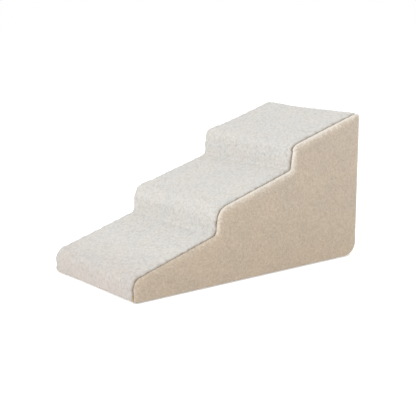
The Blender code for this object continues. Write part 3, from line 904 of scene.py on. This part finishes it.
# %% Thread finishes
def thread_finish(name, dark, pale):
    """Sewing thread: dark between its plies, pale on them, with a few loose fibres."""
    made = Finish(name, 0.6, sheen=0.2)
    ply = made.node("ShaderNodeAttribute")
    ply.attribute_name = "pile"
    fuzz = made.noise(0.5 * MM, detail=3.0)
    level = made.math("ADD", ply.outputs["Fac"], made.math("MULTIPLY", fuzz, 0.3))
    made.tinted(made.ramp(level, (0.2, dark), (1.0, pale)))
    made.relief((fuzz, 0.08 * MM))
    return made.material


seam_brown = thread_finish("seam_thread", (0.20, 0.145, 0.085), (0.40, 0.31, 0.20))
tack_gold = thread_finish("tack_thread", (0.26, 0.18, 0.075), (0.52, 0.39, 0.19))
print("threads:", seam_brown.name, tack_gold.name)

# %% Foam, grip and nylon finishes
def grained_finish(name, dark, pale, size, depth, roughness, pores=0.0):
    """A surface with a grain, and pores between scattered cells if there are any."""
    made = Finish(name, roughness)
    grain = made.noise(size, detail=4.0, roughness=0.6)
    level = made.math("SUBTRACT", grain, made.math("MULTIPLY", made.cells(2 * size), pores))
    body = made.ramp(level, (0.15, dark), (0.65, pale))
    made.tinted(body, made.clouds(60 * MM, (0.95, 0.95, 0.94), (1, 1, 1)))
    made.relief((level, depth))
    return made.material


foam_firm = grained_finish("foam_firm", (0.55, 0.55, 0.58), (0.80, 0.80, 0.82), 0.9 * MM,
                           0.6 * MM, 1.0, pores=0.5)
foam_soft = grained_finish("foam_soft", (0.62, 0.57, 0.38), (0.86, 0.82, 0.62), 1.2 * MM,
                           0.8 * MM, 1.0, pores=0.5)
grip_rubber = grained_finish("grip_rubber", (0.50, 0.47, 0.42), (0.62, 0.59, 0.54), 0.8 * MM,
                             0.05 * MM, 0.62)
zip_nylon = grained_finish("zip_nylon", (0.44, 0.365, 0.28), (0.56, 0.48, 0.375), 0.6 * MM,
                           0.02 * MM, 0.42)
print("grained:", foam_firm.name, foam_soft.name, grip_rubber.name, zip_nylon.name)

# %% Liner and metal finishes
def liner_finish():
    """Thin non-woven cloth: flat fibres pressed together in rows of small dots."""
    made = Finish("liner_cloth", 0.75, sheen=0.1)
    dots = made.cells(2.2 * MM, scattered=0.0)
    fibres = made.noise(1.6 * MM, detail=5.0, roughness=0.7, distortion=1.2)
    pressed = made.ramp(dots, (0.18, (0.74, 0.74, 0.75)), (0.3, (0.86, 0.86, 0.86)))
    made.tinted(made.blend("OVERLAY", 0.25, pressed, made.ramp(fibres, (0.3, (0.4, 0.4, 0.4)),
                                                                (0.7, (0.6, 0.6, 0.6)))))
    made.relief((dots, 0.15 * MM), (fibres, 0.1 * MM))
    return made.material


def metal_finish():
    """Painted metal: even paint, a little dull in patches, scuffed bare along scratches."""
    made = Finish("zip_metal", 0.38, metallic=0.75)
    patch = made.noise(2.5 * MM, detail=3.0)
    scratch = made.noise(0.9 * MM, detail=6.0, roughness=0.75, distortion=3.0)
    paint = made.ramp(patch, (0.3, (0.55, 0.505, 0.42)), (0.7, (0.64, 0.60, 0.515)))
    scuffed = made.ramp(scratch, (0.66, (0, 0, 0)), (0.72, (1, 1, 1)))
    made.tinted(made.blend("MIX", scuffed, paint, (0.78, 0.76, 0.72)))
    made.set("Roughness", made.math("ADD", made.math("MULTIPLY", patch, 0.25), 0.25))
    made.relief((scratch, 0.02 * MM))
    return made.material


liner_white = liner_finish()
zip_metal = metal_finish()
print("finishes:", len(bpy.data.materials), "materials so far")

# %% [markdown]
# ## Threads
#
# A sewn seam shows a thread that comes up through the cloth and goes down again at
# every stitch. It is a tube along a wavy path: at each point of the path, a ring in
# the plane across it. The rings swell and shrink round the thread like two twisted
# plies, so even a close look finds a thread and not a wire.

# %% A tube along a path
def tube(name, path, away, radius, sides=6, twist=None, closed=False):
    """Rings across a path, turned by the away directions, with plies once a twist."""
    if closed:
        along = np.roll(path, -1, axis=0) - np.roll(path, 1, axis=0)
    else:
        along = np.gradient(path, axis=0)
    along = along / np.linalg.norm(along, axis=1, keepdims=True)
    beside = np.cross(along, away)
    beside = beside / np.linalg.norm(beside, axis=1, keepdims=True)
    above = np.cross(beside, along)
    angle = np.linspace(0, 2 * np.pi, sides, endpoint=False)[None, :, None]
    travelled = np.concatenate(([0], np.cumsum(np.linalg.norm(np.diff(path, axis=0), axis=1))))
    ply = np.zeros((len(path), sides))
    if twist:
        turns = round(travelled[-1] / twist) * travelled / travelled[-1]
        ply = np.cos(2 * angle[..., 0] - 2 * np.pi * turns[:, None])
    thick = radius * (1 + 0.16 * ply)[..., None]
    ring = np.cos(angle) * above[:, None] + np.sin(angle) * beside[:, None]
    points = path[:, None] + thick * ring
    numbers = vertex_numbers(len(path), sides)
    caps = () if closed else (numbers[0], numbers[-1])
    return add_piece(name, points, grid_faces(numbers, closed, True), caps, 0.5 + 0.4 * ply)


SHALLOW, DEEP = 1.7 * MM, 4.0 * MM


def stitched(along):
    """How deep a thread lies: down in the cloth at each stitch, shallow between."""
    return -SHALLOW - (DEEP - SHALLOW) * (0.5 + 0.5 * np.cos(2 * np.pi * along / STITCH))


def thread_path(s, y, height, lowest=-1.0):
    """A path at distances s and widths y, that high over the outline, and its away."""
    at, out = on_path(s)
    away = np.stack((out[:, 0], 0 * s, out[:, 1]), axis=1)
    path = np.stack((at[:, 0], y, at[:, 1]), axis=1) + height[:, None] * away
    path[:, 2] = np.maximum(path[:, 2], lowest)
    return path, away

# %% Side seams and cross seams
THREAD_RADIUS, THREAD_STEP, THREAD_TWIST = 0.65 * MM, 0.94 * MM, 3.6 * MM


def sew(seam_name, path, away, closed=False):
    """A seam's thread, which stands for the seam thread of that name."""
    thread = tube(seam_name + "_stitching", path, away, THREAD_RADIUS, twist=THREAD_TWIST,
                  closed=closed)
    fit_piece(thread, "ramp", "seam_thread", seam_brown, seam_name + "_seam_thread")


around = np.arange(round(PATH_LENGTH / THREAD_STEP)) / round(PATH_LENGTH / THREAD_STEP)
around = around * PATH_LENGTH
for side_name, side in SIDES:
    slip = slipped(around) * (side > 0)
    depth = np.maximum(stitched(around) - 3.6 * MM * slip, -6.6 * MM)
    y = side * (SEAM_Y + FAR_SHIFT * slip + wander(around, side))
    sew(side_name, *thread_path(around, y, depth, 1.2 * MM), closed=True)

across = np.arange(-PANEL_HALF_WIDTH + 2 * MM, PANEL_HALF_WIDTH - 2 * MM, THREAD_STEP)
for seam_name, s in (("top", S_TOP_SEAM), ("front", S_FRONT_SEAM), ("base", S_BACK_SEAM)):
    sew(seam_name, *thread_path(np.full(len(across), s), across, stitched(across), 1.9 * MM))

# %% Bar tacks at the foot of the front seams
TACK_LOW, TACK_HIGH, TACK_HALF_WIDTH, TACK_SWINGS = 5 * MM, 18 * MM, 2.6 * MM, 8
UP_THE_LIP = slice(0, 400)
swing = np.linspace(0, 1, 30 * TACK_SWINGS)
sideways = TACK_HALF_WIDTH * np.sin(2 * np.pi * TACK_SWINGS * swing)
s = np.interp(TACK_LOW + (TACK_HIGH - TACK_LOW) * swing, path_points[UP_THE_LIP, 1],
              path_s[UP_THE_LIP])
for side_name, side in SIDES:
    slip = slipped(s) * (side > 0)
    hump = (0.2 - 3.4 * slip) * MM - 1.6 * MM * (sideways / TACK_HALF_WIDTH) ** 2
    path, away = thread_path(s, side * (SEAM_Y + FAR_SHIFT * slip) + sideways, hump)
    tack = tube(side_name + "_bar_tack", path, away, 0.6 * MM, twist=3 * MM)
    fit_piece(tack, "ramp", "seam_thread", tack_gold)

# %% [markdown]
# ## The zip
#
# A coil zip is a nylon wire wound into a flat spiral and sewn to the edge of a tape.
# Two such spirals, half a turn apart, lock into each other. A spiral is a circle that
# moves along: here it is squashed to the height of the teeth. The tape is a woven
# strip with a thicker cord in the edge that carries the coil.

# %% Coil rows
COIL_PITCH, COIL_WIRE, COIL_POINTS = 1.5 * MM, 0.27 * MM, 10
ZIP_HALVES = (("upper", 1), ("lower", -1))
for side_name, side in ZIP_HALVES:
    low, high = np.array(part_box("zip_teeth_" + side_name))
    turns = round((high[1] - low[1] - 2 * COIL_WIRE) / COIL_PITCH)
    along = np.linspace(0, 1, turns * COIL_POINTS + 1)
    angle = 2 * np.pi * turns * along + (np.pi / 2 if side > 0 else -np.pi / 2)
    middle = ZIP_Z + side * 1.47 * MM
    across = 1.28 * MM * np.cos(angle) + 0.12 * MM * np.cos(2 * angle)
    lift = ((high[0] - low[0]) / 2 - COIL_WIRE) * np.sin(angle)
    path = np.stack(((low[0] + high[0]) / 2 + lift,
                     low[1] + COIL_WIRE + (high[1] - low[1] - 2 * COIL_WIRE) * along,
                     middle + across), axis=1)
    from_middle = path - (np.array([(low[0] + high[0]) / 2, 0, middle]) + path * (0, 1, 0))
    coil = tube("zip_coil_" + side_name, path, from_middle, COIL_WIRE, sides=5)
    fit_piece(coil, "ramp", "zip_nylon", zip_nylon, "zip_teeth_" + side_name)

# %% Tapes
def shown_strip(name, low, high, bulge):
    """A strip with its face towards +X: bulge(y, z) is how far each point stands out."""
    y = spaced(high[1] - low[1], 4 * MM, 1 * MM, 3) + low[1]
    z = np.linspace(low[2], high[2], 15)
    y, z = np.meshgrid(y, z, indexing="ij")
    face = np.stack((high[0] + bulge(y, z), y, z), axis=-1)
    back = face - ((high[0] - low[0]), 0, 0)
    cloth = np.concatenate((face, back[:, ::-1]), axis=1)[..., 1:]
    return strip(name, face, back, cloth)


for side_name, side in ZIP_HALVES:
    low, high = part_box("zip_tape_" + side_name)
    inner_edge = low[2] if side > 0 else high[2]

    def edge_cord(y, z):
        """A cord woven into the inner edge, and a slow ripple along the rest."""
        cord = 0.22 * MM * np.exp(-((abs(z - inner_edge) - 1.6 * MM) / (0.9 * MM)) ** 2)
        return cord + 0.05 * MM * np.sin(2 * np.pi * y / (31 * MM)) - 0.05 * MM

    tape = shown_strip("zip_tape_cloth_" + side_name, low, high, edge_cord)
    fit_piece(tape, "ramp", "zip_tape", tape_twill, "zip_tape_" + side_name)

# %% [markdown]
# ## Copies of the model's own small parts
#
# The slider, its crown, the pull and the stops already have the right shape, but real
# castings have no razor edges. Each is copied, its loose triangles are merged, its flat
# faces are joined up again, and its edges are rounded a little so they catch the light.

# %% A copy with rounded edges
def rounded_copy(name, node, width):
    """A node's mesh, merged, its flat faces joined, and its sharp edges rounded."""
    shape = bmesh.new()
    shape.from_mesh(bpy.data.objects[node].data)
    bmesh.ops.remove_doubles(shape, verts=shape.verts, dist=0.01 * MM)
    bmesh.ops.dissolve_limit(shape, angle_limit=np.radians(1), verts=shape.verts,
                             edges=shape.edges)
    sharp = [edge for edge in shape.edges if edge.calc_face_angle(0) > np.radians(30)]
    bmesh.ops.bevel(shape, geom=sharp, offset=width, segments=2, profile=0.5,
                    affect="EDGES", clamp_overlap=True)
    bmesh.ops.triangulate(shape, faces=[f for f in shape.faces if len(f.verts) > 4])
    mesh = bpy.data.meshes.new(name)
    shape.to_mesh(mesh)
    shape.free()
    print(f"{name}: {len(mesh.polygons)} faces from {node}")
    return smooth_piece(name, mesh, 35)

# %% Slider, pull and stops
for name, node, body, width in (
    ("slider_body", "zip_slider", "slider", 0.25 * MM),
    ("slider_bridge", "slider_crown", "slider", 0.25 * MM),
    ("pull_tab", "zip_pull", "pull", 0.22 * MM),
    ("top_stop_upper", "zip_top_stop_upper", "ramp", 0.3 * MM),
    ("top_stop_lower", "zip_top_stop_lower", "ramp", 0.3 * MM),
    ("bottom_stop", "zip_bottom_stop", "ramp", 0.4 * MM),
):
    fit_piece(rounded_copy(name, node, width), body, "zip_metal", zip_metal, node)

# %% [markdown]
# ## The care label
#
# A small blank satin tab is caught in the seam beside the zip. It is held along one
# edge only, so the rest bows away from the cloth and its free corners curl.

# %% Care label
low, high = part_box("care_label")


def label_bow(y, z):
    """Out with the square of the distance from the sewn edge, and a curl at the corners."""
    free = (high[1] - y) / (high[1] - low[1])
    curl = (2 * (z - low[2]) / (high[2] - low[2]) - 1) ** 2
    return 1.1 * MM + 1.5 * MM * free ** 2 + 0.5 * MM * free * curl


label = shown_strip("care_tab", (high[0] - 0.35 * MM, *low[1:]), high, label_bow)
fit_piece(label, "ramp", "label_satin", satin, "care_label")

# %% [markdown]
# ## The underside
#
# The base is plain woven cloth, pulled flat. Under it lies a thin sheet of grip with
# rows of small domes, which keep the ramp from sliding. Over a thousand domes would be
# heavy if each were finely made, so a dome here is three rings of ten points.

# %% Base cloth
base_cloth = panel("base_cloth", S_BACK_SEAM, PATH_LENGTH + S_FRONT_SEAM, 4 * MM,
                   lambda points: 0.45 + 0.4 * smooth_noise(points, 14 * MM, 91),
                   4 * MM, 0.2 * MM, (4 * MM, 1.2 * MM), wave=0.0)
fit_padding(base_cloth, "base_cloth", base_weave, "base_panel")

# %% Domes of the grip sheet
DOME_PITCH, DOME_RADIUS, DOME_SIDES = 14 * MM, 2.6 * MM, 10
low, high = np.array(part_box("grip_sheet"))
film_low = low[2] + 0.6 * MM
columns, rows = ((high - low)[:2] / DOME_PITCH).astype(int)
centre_x = (low[0] + high[0]) / 2 + DOME_PITCH * (np.arange(columns) - (columns - 1) / 2)
centre_y = (low[1] + high[1]) / 2 + DOME_PITCH * (np.arange(rows) - (rows - 1) / 2)
centres = np.stack(np.meshgrid(centre_x, centre_y, indexing="ij"), axis=-1).reshape(-1, 2)
angle = np.linspace(0, 2 * np.pi, DOME_SIDES, endpoint=False)
dome_rings = np.array([(1.0, film_low + 0.1 * MM), (0.92, low[2] + 0.25 * MM), (0.6, low[2])])
circle = np.stack((np.cos(angle), np.sin(angle)), axis=-1)
domes = np.empty((len(centres), 3, DOME_SIDES, 3))
domes[..., :2] = centres[:, None, None] + DOME_RADIUS * dome_rings[:, :1, None] * circle
domes[..., 2] = dome_rings[:, 1, None]
one = grid_faces(vertex_numbers(3, DOME_SIDES), join_columns=True)
first = 3 * DOME_SIDES * np.arange(len(centres))[:, None]
rims = np.concatenate((first + np.arange(DOME_SIDES),
                       first + 2 * DOME_SIDES + np.arange(DOME_SIDES)[::-1]))
print(len(centres), "domes in", columns, "rows of", rows)

# %% The film that carries the domes
film_x = spaced(high[0] - low[0], 30 * MM, 3 * MM) + low[0]
film_y = spaced(high[1] - low[1], 30 * MM, 3 * MM) + low[1]
film_x, film_y = np.meshgrid(film_x, film_y, indexing="ij")
to_edge = np.minimum(np.minimum(film_x - low[0], high[0] - film_x),
                     np.minimum(film_y - low[1], high[1] - film_y))
film_low = film_low + 0.25 * MM * np.clip(1 - to_edge / (2 * MM), 0, 1)
film = np.concatenate((
    np.stack((film_x, film_y, film_low), axis=-1),
    np.stack((film_x, film_y, np.full_like(film_x, high[2])), axis=-1)[:, ::-1],
), axis=1)

sheet_numbers = vertex_numbers(*film.shape[:2])
dome_start = sheet_numbers.size
grip = add_piece(
    "grip_dots", np.concatenate((film.reshape(-1, 3), domes.reshape(-1, 3))),
    np.concatenate((grid_faces(sheet_numbers, join_columns=True),
                    (dome_start + first[:, None] + one[None]).reshape(-1, 4))),
    [sheet_numbers[0], sheet_numbers[-1], *(dome_start + rims)])
fit_piece(grip, "ramp", "grip_rubber", grip_rubber, "grip_sheet")

# %% [markdown]
# ## Inside the cover
#
# Under the cloth are three glued slabs of firm foam, a softer layer over the steps,
# and a thin bag round them all. Nobody sees them until the cover comes off, but they
# are there: each keeps the model's shape, with the edges that cut foam really has.

# %% Foam slabs, comfort layer and liner
for level in ("base", "middle", "top"):
    slab = f"foam_{level}_slab"
    fit_padding(rounded_copy(f"{level}_slab_foam", slab, 1.5 * MM), "foam_firm", foam_firm, slab)
comfort_layer = rounded_copy("comfort_layer", "comfort_foam", 1.2 * MM)
fit_padding(comfort_layer, "foam_soft", foam_soft, "comfort_foam")

# %% [markdown]
# The liner is cut as one strip that goes round the core, with a side piece each way,
# and sewn into a bag. The lap is a plain rectangle that covers the mouth of the bag.
# The size of the strip is the way round the core, and a side piece has the core's own outline.

liner_skin = rounded_copy("liner_skin", "liner_bag", 0.2 * MM)
fit_piece(liner_skin, "ramp", "liner_cloth", liner_white, "liner_bag")
liner_lap = rounded_copy("liner_lap", "liner_flap", 0.2 * MM)
fit_piece(liner_lap, "ramp", "liner_cloth", liner_white, "liner_flap")

# %% [markdown]
# ## Studio
#
# A pale floor, an even bright surround, and two large soft lights. The key light comes
# from the front left and above, so the treads and risers are brighter than the side.

# %% Floor, surround and lights
# The floor is matt, and glows a little so that shadows stay pale.
matt = Finish("studio_floor", 0.9)
matt.tinted((0.93, 0.93, 0.93, 1))
matt.set("Specular IOR Level", 0.1)
matt.set("Emission Color", (1, 1, 1, 1))
matt.set("Emission Strength", 0.3)
floor_mesh = bpy.data.meshes.new("floor")
REACH = 30.0
floor_mesh.from_pydata([(-REACH, -REACH, 0), (REACH, -REACH, 0), (REACH, REACH, 0),
                        (-REACH, REACH, 0)], [], [(0, 1, 2, 3)])
floor_mesh.materials.append(matt.material)
put_in_scene("floor", floor_mesh)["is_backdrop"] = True

world = bpy.data.worlds.new("surround")
world.use_nodes = True
world.node_tree.nodes["Background"].inputs["Color"].default_value = (1, 1, 1, 1)
world.node_tree.nodes["Background"].inputs["Strength"].default_value = 1.0
bpy.context.scene.world = world
bpy.context.scene.view_settings.view_transform = "Standard"


def softbox(name, place, size, power):
    """A square area light that faces the middle of the ramp."""
    light = bpy.data.lights.new(name, "AREA")
    light.size = size
    light.energy = power
    lamp = put_in_scene(name, light)
    lamp.location = place
    facing = Vector((0, 0, RAMP_HEIGHT / 2)) - Vector(place)
    lamp.rotation_euler = facing.to_track_quat("-Z", "Y").to_euler()


softbox("key_light", (-2.6, -1.2, 2.6), 1.8, 30)
softbox("fill_light", (1.5, -3.0, 1.6), 2.0, 8)

# %% Camera
AZIMUTH, ELEVATION, DISTANCE = np.radians(-38.4), np.radians(11.8), 2.49
target = Vector((-0.009, 0.0, 0.1536))
back = Vector((np.sin(AZIMUTH) * np.cos(ELEVATION), -np.cos(AZIMUTH) * np.cos(ELEVATION),
               np.sin(ELEVATION)))
camera_data = bpy.data.cameras.new("camera")
camera_data.lens = 80
camera = put_in_scene("camera", camera_data)
camera.location = target + DISTANCE * back
camera.rotation_euler = (-back).to_track_quat("-Z", "Y").to_euler()
bpy.context.scene.camera = camera
print("camera at", [round(x, 3) for x in camera.location])

# %% [markdown]
# ## Does it still fit the model?
#
# Cloth may stand a little proud of the model, but not change the ramp's size. Both
# boxes are written out so that they can be compared.

# %% Compare the two boxes
MADE_BOX = [list(corner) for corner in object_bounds()]
for which, cad, made in zip(("low", "high"), CAD_BOX, MADE_BOX):
    print(which, "corner moved by", [round(1000 * (b - a), 1) for a, b in zip(cad, made)], "mm")
